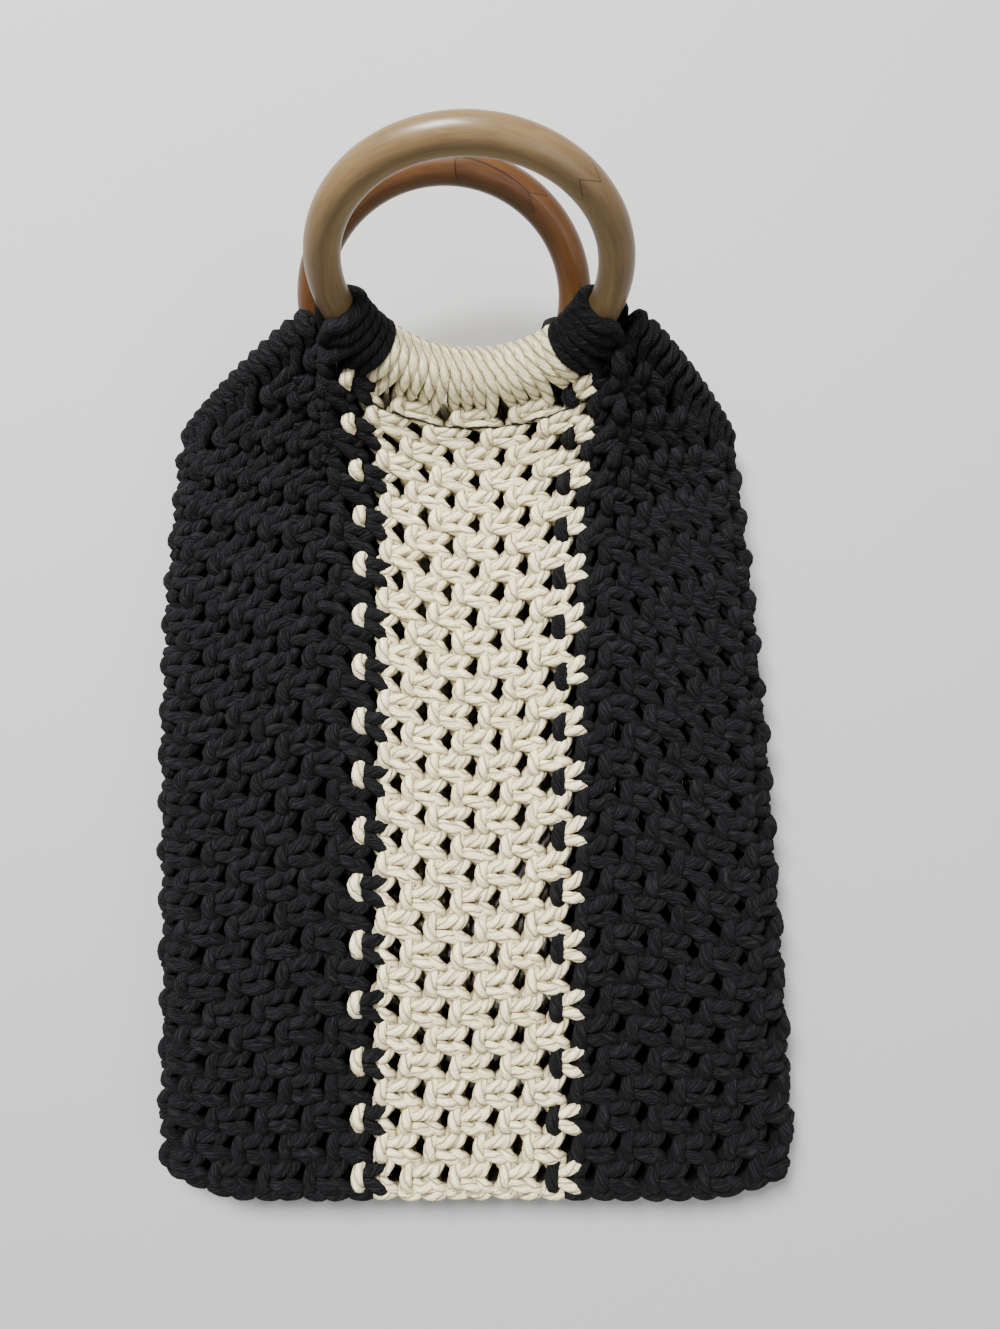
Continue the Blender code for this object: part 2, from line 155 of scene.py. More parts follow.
# A square knot whose bump is on its left. Bends of its cords, in cord diameters from the knot's middle:
# right, up and out of the bag. One working cord makes both bars, the other makes the bump and lies over
# the bars' right ends.
Bend = namedtuple("Bend", "right up out")
NOMINAL_KNOT = 4.52
NOMINAL_ROW = 2.40
LEFT_WORKING = (
    Bend(-1.78, 1.28, 0.00),
    Bend(-1.40, 0.82, 0.00),
    Bend(-1.02, 0.54, 0.24),
    Bend(-0.50, 0.60, 0.62),
    Bend(0.10, 0.76, 0.76),
    Bend(0.66, 0.96, 0.66),
    Bend(1.10, 1.04, 0.20),
    Bend(1.30, 0.72, -0.42),
    Bend(1.32, 0.00, -0.62),
    Bend(1.30, -0.62, -0.42),
    Bend(1.12, -0.84, 0.20),
    Bend(0.66, -0.72, 0.66),
    Bend(0.10, -0.52, 0.74),
    Bend(-0.50, -0.30, 0.60),
    Bend(-1.02, -0.28, 0.22),
    Bend(-1.40, -0.56, 0.00),
)
RIGHT_WORKING = (
    Bend(1.78, 1.28, 0.04),
    Bend(1.38, 0.80, 0.50),
    Bend(1.00, 0.44, 0.44),
    Bend(0.68, 0.36, -0.45),
    Bend(-0.15, 0.55, -0.78),
    Bend(-0.95, 0.88, -0.38),
    Bend(-1.06, 1.14, 0.15),
    Bend(-1.26, 0.82, 0.72),
    Bend(-1.42, 0.18, 0.96),
    Bend(-1.32, -0.44, 0.82),
    Bend(-1.04, -0.86, 0.22),
    Bend(-0.90, -0.72, -0.38),
    Bend(-0.15, -0.55, -0.78),
    Bend(0.68, -0.30, -0.45),
    Bend(1.00, -0.24, 0.40),
    Bend(1.38, -0.58, 0.46),
)
LEFT_FILLER = (
    Bend(-0.44, 1.42, 0.04),
    Bend(-0.46, 0.80, 0.00),
    Bend(-0.46, -0.45, 0.00),
)
RIGHT_FILLER = (
    Bend(0.44, 1.42, 0.00),
    Bend(0.46, 0.80, 0.00),
    Bend(0.46, -0.45, 0.00),
)
# A cord's place in its knot, by the cord's place in its column: in even rows, then in odd rows
ROLES = (
    (RIGHT_FILLER, LEFT_WORKING),
    (RIGHT_WORKING, LEFT_FILLER),
    (LEFT_WORKING, RIGHT_FILLER),
    (LEFT_FILLER, RIGHT_WORKING),
)
EVEN_ROW_OFFSET = (-0.5, -0.5, 0.5, 0.5)
RIM_ROW = -0.5

# How the cords of the last row end in the bottom edge: the working cords lie along it, the others close what
# is left between the knots
LEFT_WORKING_END = (
    Bend(-2.05, -1.15, 0.10),
    Bend(-1.80, -1.88, 0.25),
    Bend(-1.00, -2.26, 0.30),
    Bend(-0.20, -2.20, 0.00),
    Bend(0.10, -1.60, -0.80),
)
RIGHT_WORKING_END = (
    Bend(2.05, -1.15, 0.20),
    Bend(1.80, -1.90, 0.25),
    Bend(1.00, -2.26, 0.30),
    Bend(0.20, -2.18, 0.00),
    Bend(-0.10, -1.60, -0.80),
)
LEFT_FILLER_END = (
    Bend(-0.50, -0.95, 0.10),
    Bend(-0.60, -1.60, 0.20),
    Bend(-1.30, -1.70, -0.35),
    Bend(-2.10, -1.35, -0.45),
    Bend(-2.50, -1.00, -0.60),
)
RIGHT_FILLER_END = (
    Bend(0.50, -0.95, 0.10),
    Bend(0.60, -1.60, 0.20),
    Bend(1.30, -1.70, -0.35),
    Bend(2.10, -1.35, -0.45),
    Bend(2.50, -1.00, -0.60),
)
ENDINGS = (RIGHT_FILLER_END, RIGHT_WORKING_END, LEFT_WORKING_END, LEFT_FILLER_END)

# The camera, straight above, with lens and sensor in millimetres
CAMERA_AT = (0.0108, 0.0238, 0.479)
LENS = 26.7
SENSOR = 36.0

# Lights that shine at the origin, the sky and the floor
Light = namedtuple("Light", "at size power")
KEY_LIGHT = Light((-0.38, 0.82, 1.3), 0.5, 95.0)
FILL_LIGHT = Light((0.9, -0.5, 1.2), 1.0, 12.0)
SKY_COLOUR = (0.95, 0.97, 1.0)
SKY_STRENGTH = 0.56
FLOOR_HALF = 3.0
FLOOR_COLOUR = (0.34, 0.332, 0.325)
FLOOR_ROUGHNESS = 0.9


# The bag's wall


def unit(vectors):
    return vectors / np.linalg.norm(vectors, axis=-1, keepdims=True)


def bezier(points, shares):
    """A Bezier curve for each set of control points (n, k, 3), at shares (m) of the way: (n, m, 3), by
    cutting the control polygon down until one point is left."""
    points = points[:, :, None, :]
    shares = shares[None, None, :, None]
    while points.shape[1] > 1:
        points = points[:, :-1] + (points[:, 1:] - points[:, :-1]) * shares
    return points[:, 0]


def ring_axes(handle):
    """The centre of a ring, and the two directions that its circle lies in."""
    across = np.array([math.cos(handle.turn), math.sin(handle.turn), 0.0])
    flat_up = np.array([-math.sin(handle.turn), math.cos(handle.turn), 0.0])
    up = flat_up * math.cos(handle.tilt) + np.array([0.0, 0.0, math.sin(handle.tilt)])
    bottom = np.array([handle.bottom_x, CORNER_Y + handle.ahead, WRAP_OUTER + GAP + handle.lift])
    return bottom + RING_RADIUS * up, across, up


def ring_direction(handle, angles):
    """Outwards in the ring's plane, at angles from its lowest point, positive to the right."""
    _, across, up = ring_axes(handle)
    return across * np.sin(angles)[..., None] - up * np.cos(angles)[..., None]


def ring_point(handle, angles):
    return ring_axes(handle)[0] + RING_RADIUS * ring_direction(handle, angles)


def outline(y):
    """Half the body's width, and how far its middle and the cream's lie to the right, at each station."""
    along = (y - BOTTOM_Y) / BODY_LENGTH
    at = [section.along for section in SECTIONS]
    half_width = np.interp(along, at, [section.half_width for section in SECTIONS])
    shift = np.interp(along, at, [section.shift for section in SECTIONS])
    cream_shift = np.interp(along, at, [section.cream_shift for section in SECTIONS])
    return half_width * BODY_WIDTH / 2, shift * BODY_WIDTH, cream_shift * BODY_WIDTH


def thickness(y):
    rise = np.clip((y - BOTTOM_Y - SEAM_DEPTH - BOTTOM_CORNER_RISE) / BOTTOM_TAPER, 0.0, 1.0)
    return BOTTOM_THICKNESS + (THICKNESS - BOTTOM_THICKNESS) * rise * rise * (3 - 2 * rise)


def section_points(up_sign, side, knots, y):
    """The middle of the wall at stations y: a flat stretch, then a quarter turn at the bag's side."""
    half_width, shift, cream_shift = outline(y)
    deep = thickness(y)
    turn_radius = (deep - WALL) / 2
    turn_x = half_width - deep / 2
    cream_x = side * (cream_shift - shift)
    cream_edge = cream_x + CREAM_HALF * KNOT_PITCH
    flat = turn_x - cream_edge
    length = (knots - CREAM_HALF) / (SIDE - CREAM_HALF) * (flat + QUARTER * turn_radius)
    angle = np.maximum(length - flat, 0.0) / turn_radius
    turned = turn_x + turn_radius * np.sin(angle)
    x = np.where(length > flat, turned, cream_edge + length)
    x = np.where(knots <= CREAM_HALF, cream_x + knots * KNOT_PITCH, x)
    return np.stack([shift + side * x, y + 0 * x, deep / 2 + up_sign * turn_radius * np.cos(angle)], axis=-1)


def bottom_y(side, knots):
    """Where the wall ends above the seam: its corners are rounded off."""
    y = np.full_like(knots, BOTTOM_Y + BOTTOM_TAPER)
    _, shift, _ = outline(np.full_like(knots, BOTTOM_Y))
    half_width, _, _ = outline(y)
    x = np.abs(section_points(1.0, side, knots, y)[:, 0] - shift)
    corner = np.clip((x - half_width + BOTTOM_CORNER_LENGTH) / BOTTOM_CORNER_LENGTH, 0.0, 1.0)
    return BOTTOM_Y + SEAM_DEPTH + GAP + BOTTOM_CORNER_RISE * corner**2


def roll_path(name, side, shares):
    """The middle line of a rolled shoulder edge at (n) shares, from the ring (0) to the corner (1)."""
    handle = HANDLES[name]
    up_sign = 1.0 if name == "front" else -1.0
    angle = np.array(side * (QUARTER - ROLL_START_BELOW))
    outward = ring_direction(handle, angle)
    start = ring_point(handle, angle) + outward * (WRAP_OUTER + GAP)
    half_width, shift, _ = outline(CORNER_Y)
    corner = np.array([shift + side * (half_width - WALL / 2), CORNER_Y, THICKNESS / 2 + up_sign * GAP / 2])
    into = np.array([0.0, 0.0, up_sign * ROLL_INTO_CORNER])
    points = np.array([[start, start + outward * ROLL_OUTWARD, corner + into, corner]])
    return bezier(points, np.atleast_1d(shares))[0]


def last_on_ring():
    beside_roll = math.asin((ROLL_RADIUS + RIM_GAP) / (RING_RADIUS + WRAP_OUTER))
    return (QUARTER - ROLL_START_BELOW - beside_roll) / KNOT_STEP


def rim_middle(knots_round):
    """What the wall hangs from at each (n) place round the tube: a point, and how far off the wall stays."""
    side, knots, front = folded(knots_round)
    last = last_on_ring()
    shares = np.clip((knots - last) / (SIDE - last), 0.0, 1.0)
    middles = np.zeros((len(knots), 3))
    for name, handle in HANDLES.items():
        for sign in (-1, 1):
            here = (front == (name == "front")) & (side == sign)
            on_ring = ring_point(handle, side * knots * KNOT_STEP)
            on_roll = roll_path(name, sign, shares)
            there = np.where((knots <= last)[:, None], on_ring, on_roll)
            middles[here] = there[here]
    return middles, np.where(knots <= last, WRAP_OUTER, ROLL_RADIUS) + RIM_GAP


def folded(knots_round):
    """Knots round the tube as a side, the knots from the front's or the back's middle, and whether it is
    the front."""
    knots_round = (knots_round + ROUND / 2) % ROUND - ROUND / 2
    side = np.where(knots_round >= 0, 1.0, -1.0)
    knots = np.abs(knots_round)
    front = knots <= SIDE
    return side, np.where(front, knots, ROUND / 2 - knots), front


def wall_columns(knots_round):
    """Points up the wall's middle for each (n) place round the tube: straight up the section to where the
    front or back bends towards its handle, then a Bezier curve to the rim."""
    side, knots, front = folded(knots_round)
    up_sign = np.where(front, 1.0, -1.0)
    middle, away = rim_middle(knots_round)
    lowest_ring = {name: ring_point(handle, np.array(0.0))[2] for name, handle in HANDLES.items()}
    rise = middle[:, 2] - np.where(front, lowest_ring["front"], lowest_ring["back"])
    wanted = CREASE + CREASE_PER_RISE * rise
    crease = (wanted + LEAST_CREASE + np.hypot(wanted - LEAST_CREASE, CREASE_BLEND)) / 2
    bend = section_points(up_sign, side, knots, middle[:, 1] - crease)
    flat_y = bend[:, 1] - crease * RUN_PER_CREASE
    flat = section_points(up_sign, side, knots, flat_y)
    towards_middle = knots_round - up_sign * side * RIM_NUDGE
    along = unit(middle - rim_middle(towards_middle)[0])
    fall = bend - middle
    leaving = unit(fall - along * np.sum(fall * along, axis=1, keepdims=True))
    edge = middle + leaving * away[:, None]
    shares = np.linspace(0.0, 1.0, COLUMN_SAMPLES)[:-1]
    lowest = bottom_y(side, knots)
    y = lowest[:, None] + (flat_y - lowest)[:, None] * shares
    below = section_points(up_sign[:, None], side[:, None], knots[:, None], y)
    control = np.stack([flat, bend, edge + leaving * RIM_LEAD, edge], axis=1)
    above = bezier(control, np.linspace(0.0, 1.0, RIM_SAMPLES))
    points = np.concatenate([below, above], axis=1)
    points[:, :, 2] = np.maximum(points[:, :, 2], WALL / 2)
    return points


def blurred(grid, width, axis, wraps):
    """A running mean along one axis of a grid, three times over, which is close to a bell curve."""
    half = width // 2
    for _ in range(3):
        pads = [(half, half) if k == axis else (0, 0) for k in range(grid.ndim)]
        padded = np.pad(grid, pads, mode="wrap" if wraps else "edge")
        total = np.cumsum(padded, axis=axis)
        zero = np.zeros_like(np.take(total, [0], axis=axis))
        total = np.concatenate([zero, total], axis=axis)
        count = grid.shape[axis]
        high = np.take(total, np.arange(width, width + count), axis=axis)
        grid = (high - np.take(total, np.arange(count), axis=axis)) / width
    return grid


def make_wall_grid():
    """The wall's middle and its outward normal on an even grid of places round the tube and heights."""
    count = int(ROUND * COLUMNS_PER_KNOT)
    knots_round = np.arange(count) / COLUMNS_PER_KNOT
    columns = wall_columns(knots_round)
    heights = np.linspace(0.0, 1.0, HEIGHTS)
    middle = np.zeros((count, HEIGHTS, 3))
    for i, points in enumerate(columns):
        lengths = np.concatenate([[0.0], np.cumsum(np.linalg.norm(np.diff(points, axis=0), axis=1))])
        for axis in range(3):
            middle[i, :, axis] = np.interp(heights, lengths / lengths[-1], points[:, axis])
    middle = blurred(middle, NORMAL_BLUR, 1, False)
    across = np.roll(middle, -2, axis=0) - np.roll(middle, 2, axis=0)
    normal = unit(np.cross(across, np.gradient(middle, axis=1)))
    normal = unit(blurred(blurred(normal, NORMAL_BLUR, 0, True), NORMAL_BLUR, 1, False))
    return middle, normal


WALL_MIDDLE, WALL_NORMAL = make_wall_grid()


def row_height(rows):
    """The height up the wall of places counted in rows from the top; rows grow towards the bottom."""
    def down(count):
        return count * (1 + ROW_GROWTH * count / 2)

    return 1 - down(rows - RIM_ROW) / down(ROWS)


def read_grid(grid, knots_round, heights):
    """A grid's values between its points, by bilinear blending."""
    columns, lines = grid.shape[:2]
    u = (knots_round % ROUND) * COLUMNS_PER_KNOT
    v = np.clip(heights, 0.0, 1.0) * (lines - 1)
    i, j = np.floor(u).astype(int), np.minimum(np.floor(v).astype(int), lines - 2)
    s, t = (u - i)[..., None], (v - j)[..., None]
    i, after = i % columns, (i + 1) % columns
    low = grid[i, j] * (1 - s) + grid[after, j] * s
    high = grid[i, j + 1] * (1 - s) + grid[after, j + 1] * s
    return low * (1 - t) + high * t


def wall_place(knots_round, rows, out):
    """A point of the wall: its middle moved outwards. Past the seam it carries on straight down."""
    heights = row_height(rows)
    middle = read_grid(WALL_MIDDLE, knots_round, heights)
    normal = read_grid(WALL_NORMAL, knots_round, heights)
    step = 1.0 / HEIGHTS
    zero = np.zeros_like(heights)
    downwards = read_grid(WALL_MIDDLE, knots_round, zero) - read_grid(WALL_MIDDLE, knots_round, zero + step)
    beyond = np.maximum(-heights, 0.0)[..., None] / step
    return middle + downwards * beyond + normal * out[..., None]


# Cords


def mesh_object(name, points, faces, uv, depth, material):
    """An object from points (n, 3), quads (m, 4), a UV for each corner (m, 4, 2) and each point's depth."""
    mesh = bpy.data.meshes.new(name)
    mesh.vertices.add(len(points))
    mesh.vertices.foreach_set("co", points.astype(np.float32).ravel())
    mesh.loops.add(faces.size)
    mesh.loops.foreach_set("vertex_index", faces.astype(np.int32).ravel())
    mesh.polygons.add(len(faces))
    mesh.polygons.foreach_set("loop_start", np.arange(0, faces.size, 4, dtype=np.int32))
    mesh.update(calc_edges=True)
    layer = mesh.uv_layers.new(name="along_and_round")
    layer.data.foreach_set("uv", uv.astype(np.float32).ravel())
    mesh.attributes.new("depth", "FLOAT", "POINT").data.foreach_set("value", depth.astype(np.float32))
    mesh.materials.append(material)
    mesh.shade_smooth()
    mesh.validate()
    obj = bpy.data.objects.new(name, mesh)
    bpy.context.scene.collection.objects.link(obj)
    return obj


def smooth_path(points, steps):
    """A Catmull-Rom curve through each path's bends (n, k, 7), with some steps between neighbours."""
    before = np.concatenate([2 * points[:, :1] - points[:, 1:2], points[:, :-1]], axis=1)[:, :-1]
    start, end = points[:, :-1], points[:, 1:]
    after = np.concatenate([points[:, 2:], 2 * points[:, -1:] - points[:, -2:-1]], axis=1)
    parts = []
    for t in np.arange(steps) / steps:
        parts.append(0.5 * (2 * start + (end - before) * t
                            + (2 * before - 5 * start + 4 * end - after) * t**2
                            + (3 * start - before - 3 * end + after) * t**3))
    inside = np.stack(parts, axis=2).reshape(len(points), -1, points.shape[2])
    return np.concatenate([inside, points[:, -1:]], axis=1)


def carried_frames(paths):
    """Two directions square to each path (n, k, 3), carried along it without twist, all paths at once."""
    tangents = unit(np.gradient(paths, axis=1))
    helper = np.where(np.abs(tangents[:, :1, 2:]) < STEEP, [[[0.0, 0.0, 1.0]]], [[[1.0, 0.0, 0.0]]])
    first = unit(np.cross(tangents[:, 0], helper[:, 0]))
    sides = [first]
    for i in range(1, paths.shape[1]):
        carried = sides[-1] - tangents[:, i] * np.sum(sides[-1] * tangents[:, i], axis=1, keepdims=True)
        sides.append(unit(carried))
    sides = np.stack(sides, axis=1)
    return sides, np.cross(tangents, sides)


def tubes(bends, radius, sides):
    """Round tubes along bends with depth (n, k, 7): points, quads, UVs and how deep each point lies, closed
    at both ends by shrinking to a point. No tube sinks into the ground."""
    paths, normals, out = bends[..., :3].copy(), bends[..., 3:6], bends[..., 6]
    radii = radius * (1 + LOOP_SWELL * np.clip(2 * out - 1, 0.0, 1.0) ** 2)
    paths[..., 2] = np.maximum(paths[..., 2], radii)
    count, length = paths.shape[:2]
    first, second = carried_frames(paths)
    angles = 2 * math.pi * np.arange(sides) / sides
    radii = radii[:, :, None, None]
    radii[:, 0] = radii[:, -1] = radius * END_SHRINK
    rings = first[:, :, None] * np.cos(angles)[:, None] + second[:, :, None] * np.sin(angles)[:, None]
    points = paths[:, :, None] + rings * radii
    depth = out[:, :, None] + np.sum(rings * normals[:, :, None], axis=-1) * radius / CORD
    index = np.arange(count * length * sides).reshape(count, length, sides)
    near, far = index[:, :-1], index[:, 1:]
    quads = np.stack([near, np.roll(near, -1, axis=2), np.roll(far, -1, axis=2), far], axis=-1)
    steps = np.linalg.norm(np.diff(paths, axis=1), axis=2)
    along = np.concatenate([np.zeros((count, 1)), np.cumsum(steps, axis=1)], axis=1) / CORD
    low = np.broadcast_to(along[:, :-1, None], near.shape)
    high = np.broadcast_to(along[:, 1:, None], near.shape)
    left = np.broadcast_to(np.arange(sides) / sides, near.shape)
    right = left + 1 / sides
    uv = np.stack([np.stack([low, left], -1), np.stack([low, right], -1),
                   np.stack([high, right], -1), np.stack([high, left], -1)], axis=3)
    return points.reshape(-1, 3), quads.reshape(-1, 4), uv.reshape(-1, 4, 2), depth.ravel()


def joined(parts):
    """Several tubes as one."""
    offsets = np.cumsum([0] + [len(part[0]) for part in parts[:-1]])
    faces = np.concatenate([part[1] + offset for part, offset in zip(parts, offsets)])
    points, uv, depth = (np.concatenate([part[k] for part in parts]) for k in (0, 2, 3))
    return points, faces, uv, depth


def rolled_shares(name, side, shares):
    """Shares of a roll's length turned into shares of its curve, by measuring the curve."""
    fine = np.linspace(0.0, 1.0, COLUMN_SAMPLES)
    steps = np.linalg.norm(np.diff(roll_path(name, side, fine), axis=0), axis=1)
    lengths = np.concatenate([[0.0], np.cumsum(steps)])
    return np.interp(shares, lengths / lengths[-1], fine)


def hanging_place(knots_round):
    """What each cord (n) is looped over: its middle line's point, its direction there and the loop's radius.
    The cords lie side by side on the ring, and the rest evenly along the roll."""
    side, knots, front = folded(knots_round)
    shares = np.clip((knots - LOOPS_ON_RING) / (SIDE - LOOPS_ON_RING), 0.0, 1.0)
    middles, tangents = np.zeros((2, len(knots), 3))
    on_ring = knots < LOOPS_ON_RING
    for name, handle in HANDLES.items():
        angles = side * knots * KNOT_STEP
        turned = ring_direction(handle, angles + QUARTER)
        for sign in (-1, 1):
            here = (front == (name == "front")) & (side == sign)
            curve = rolled_shares(name, sign, shares)
            on_roll = roll_path(name, sign, curve)
            ahead = roll_path(name, sign, np.minimum(curve + RIM_NUDGE, 1.0))
            along = unit(ahead - roll_path(name, sign, curve - RIM_NUDGE))
            middles[here] = np.where(on_ring[:, None], ring_point(handle, angles), on_roll)[here]
            tangents[here] = np.where(on_ring[:, None], turned, along)[here]
    return middles, tangents, np.where(on_ring, LOOP_OUT, ROLL_LOOP_OUT)


def with_depth(points, normals, out):
    """Points (n, k, 3) beside the bag's outward normals and the distance outwards, in cord diameters."""
    return np.concatenate([points, normals, out[..., None]], axis=-1)


def wall_bends(knots_round, rows, out):
    """Bends in the wall, some cord diameters outwards from its middle, with their depth."""
    normals = read_grid(WALL_NORMAL, knots_round, row_height(rows))
    return with_depth(wall_place(knots_round, rows, out * CORD), normals, out)


def loop_bends(knots_rim):
    """The start of each cord (n): inside the bag, round what it hangs from, in the plane square to that, and
    down over the rim. A turn of 0 degrees is towards the rim and 90 degrees is outwards."""
    middle, tangent, reach = hanging_place(knots_rim)
    rim = wall_place(knots_rim, np.full_like(knots_rim, RIM_ROW), np.zeros_like(knots_rim))
    fall = rim - middle
    downwards = unit(fall - tangent * np.sum(fall * tangent, axis=1, keepdims=True))
    outwards = np.cross(tangent, downwards)
    normal = read_grid(WALL_NORMAL, knots_rim, np.ones_like(knots_rim))
    outwards *= np.sign(np.sum(outwards * normal, axis=1, keepdims=True))
    turns = np.radians(LOOP_TURNS)[None, :, None]
    spokes = np.cos(turns) * downwards[:, None] + np.sin(turns) * outwards[:, None]
    depths = np.broadcast_to(np.array(LOOP_DEPTHS, float), spokes.shape[:2])
    round_it = with_depth(middle[:, None] + reach[:, None, None] * spokes, spokes, depths)
    start_row = np.full_like(knots_rim, LOOP_START_ROW)
    start = wall_bends(knots_rim, start_row, np.full_like(knots_rim, LOOP_START_OUT))
    return np.concatenate([start[:, None], round_it], axis=1)


def cord_paths(columns, place, rng):
    """The bends of the cord at one place (0 to 3) in each of (n) columns of knots, with depth, smoothed."""
    columns = np.asarray(columns, float)
    rim_offset = (place - (CORDS_PER_KNOT - 1) / 2) / CORDS_PER_KNOT
    closer = PAIR_CLOSER * (1 if place % 2 == 0 else -1) / CORDS_PER_KNOT
    stretches = [loop_bends(columns + rim_offset + closer)]
    for row in range(ROWS):
        bends = np.array(ROLES[place][row % 2])
        if row == 0:
            bends = bends[1:]
        if row == ROWS - 1:
            bends = np.concatenate([bends, ENDINGS[place]])
        middle = columns + (EVEN_ROW_OFFSET[place] if row % 2 == 0 else 0.0)
        knot = np.round(middle * 2).astype(int) % int(2 * ROUND)
        shift = KNOT_SHIFTS[knot, row]
        bends = bends[None] + rng.normal(0.0, WANDER, (len(columns), len(bends), 3))
        across = middle[:, None] + bends[:, :, 0] / NOMINAL_KNOT + shift[:, None, 0]
        rows = row - bends[:, :, 1] / NOMINAL_ROW + shift[:, None, 1]
        stretches.append(wall_bends(across, rows, bends[:, :, 2]))
    return smooth_path(np.concatenate(stretches, axis=1), STEPS_PER_BEND)


# How far each knot lies off its place, in knots and rows, which is the same for all its cords
KNOT_SHIFTS = np.random.default_rng(SEED).normal(0.0, SHIFT_KNOT, (int(2 * ROUND), ROWS, 2))


def roll_core(name, side):
    """The cord inside a rolled shoulder, which its loops lie round."""
    points = roll_path(name, side, np.linspace(0.0, 1.0, COLUMN_SAMPLES))
    return with_depth(points, 0 * points, np.ones(len(points)))[None]


def make_cords(name, columns, radius, material, nodes, cores=()):
    """All the cords of some columns of knots as one piece, with the cores of the rolls they lie round."""
    rng = np.random.default_rng(SEED + len(name))
    parts = [tubes(cord_paths(columns, place, rng), radius, CORD_SIDES) for place in range(CORDS_PER_KNOT)]
    parts += [tubes(roll_core(which, side), CORE_RADIUS, CORD_SIDES) for which, side in cores]
    obj = mesh_object(name, *joined(parts), material)
    finish_piece(obj, nodes)
    return obj


def finish_piece(obj, nodes):
    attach(obj, "root")
    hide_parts(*nodes)


# Rings


def make_ring(name, handle, material, node):
    """A torus: a circle of the bar's radius carried round the ring's circle. Its UV goes round the ring,
    then round the bar."""
    segments, sides = RING_SEGMENTS, RING_SIDES
    centre, across, up = ring_axes(handle)
    normal = np.cross(across, up)
    round_ring = 2 * math.pi * np.arange(segments) / segments
    round_bar = 2 * math.pi * np.arange(sides) / sides
    outward = ring_direction(handle, round_ring)
    middle = centre + RING_RADIUS * outward
    bar = outward[:, None] * np.cos(round_bar)[:, None] + normal * np.sin(round_bar)[:, None]
    points = middle[:, None] + RING_WIRE / 2 * bar
    index = np.arange(segments * sides).reshape(segments, sides)
    far = np.roll(index, -1, axis=0)
    quads = np.stack([index, np.roll(index, -1, axis=1), np.roll(far, -1, axis=1), far], axis=-1)
    faces = quads.reshape(-1, 4)
    i, j = np.meshgrid(np.arange(segments), np.arange(sides), indexing="ij")
    corners = [(i, j), (i, j + 1), (i + 1, j + 1), (i + 1, j)]
    uv = np.stack([np.stack([a / segments, b / sides], -1) for a, b in corners], axis=2).reshape(-1, 4, 2)
    points = points.reshape(-1, 3)
    obj = mesh_object(name, points, faces[:, ::-1], uv[:, ::-1], np.ones(len(points)), material)
    finish_piece(obj, [node])
    return obj


# Materials


Noise = namedtuple("Noise", "scale detail roughness distortion", defaults=(0.5, 0.0))

# Laid cord. Each look has its colours, how much its fibres and fuzz show, its bump in metres and its sheen.
# Its colours for grooves and for the inside are painted shade: in the grooves between plies, on cords that
# lie deep in the wall, and nearly black further in.
FinishAndShade = namedtuple("FinishAndShade", "colour groove fibre inside fibres fuzz bump sheen sheen_tint")
CREAM_FINISH_AND_SHADE = FinishAndShade(colour=(0.95, 0.87, 0.56), groove=(0.19, 0.137, 0.068), fibre=(0.50, 0.385, 0.205),
                      inside=(0.020, 0.016, 0.012), fibres=0.85, fuzz=0.6, bump=0.0017, sheen=0.0,
                      sheen_tint=(1.0, 0.97, 0.9))
# The black's lighter fibre colour is partly the fibres' own tone and partly a painted highlight on its fuzz
BLACK_FINISH_AND_SHADE = FinishAndShade(colour=(0.0020, 0.0020, 0.0024), groove=(0.0010, 0.0010, 0.0012),
                      fibre=(0.024, 0.024, 0.027), inside=(0.0010, 0.0010, 0.0012), fibres=0.5, fuzz=1.6,
                      bump=0.0013, sheen=0.012, sheen_tint=(0.5, 0.5, 0.55))
PLIES = 3.0
PLIES_PER_DIAMETER = 0.66
PLY_FLATNESS = 2.6
PLY_SHADE_CONTRAST = 1.1
RAGGED = Noise(420.0, 2.0)
RAGGEDNESS = 0.28
FIBRES_PER_PLY = 9.0
FIBRES_ALONG = 0.9
FIBRE_NOISE = Noise(1.0, 4.0, 0.6)
FIBRE_HEIGHT = 0.5
HAIR_RANGE = (0.45, 0.64)
FUZZ = Noise(1300.0, 3.0)
BLOTCHES = Noise(80.0, 2.0)
DARKEST_BLOTCH = 0.84
BLOTCH_RANGE = 0.32
# Depths, in cord diameters out from the wall's middle, between which a cord turns to its painted shade
# colour for grooves, and further in to its painted inside shade colour
GROOVE_SHADE_DEPTHS = (0.9, -0.1)
GROOVE_SHADE_SHARE = 0.9
INSIDE_SHADE_DEPTHS = (0.1, -0.5)
CORD_SURFACE = {"Roughness": 0.92, "Specular IOR Level": 0.1, "Sheen Roughness": 0.5}
CORD_BUMP_STRENGTH = 0.9

# The painted shadow line along the fold on the front, in metres; it shows only above the height FOLD_ABOVE
FOLD_AT = 0.1276
FOLD_BOW = 3.7
FOLD_UNEVEN = 0.0022
FOLD_NOISE = Noise(130.0, 2.0)
FOLD_WIDTH = 0.0008
FOLD_ABOVE = 0.026
FOLD_SHADOW_COLOUR = (0.012, 0.010, 0.008)

# The rings' wood. Places along the ring are shares of its circle, and places across the bar are shares of
# the bar's round, counted from its outer side.
Wood = namedtuple("Wood", "light dark insert_length")
OLIVE_WOOD = Wood((0.148, 0.096, 0.043), (0.060, 0.036, 0.015), 0.0)
ORANGE_WOOD = Wood((0.092, 0.039, 0.012), (0.035, 0.0135, 0.004), 0.085)
WOOD_SURFACE = {"Roughness": 0.38, "Specular IOR Level": 0.22, "Coat Weight": 0.12, "Coat Roughness": 0.17}
WOOD_BUMP = {"Strength": 0.25, "Distance": 0.0003}
JOINT_AT = 0.385
JOINT_TOOTH = 0.02
JOINT_TEETH = 10.0
JOINT_WIDTH = 0.0009
JOINT_DARKNESS = 0.8
JOINT_BLACK_SHARE = 0.75
JOINT_COLOUR = (0.004, 0.003, 0.002)
BAR_FROM = -0.4
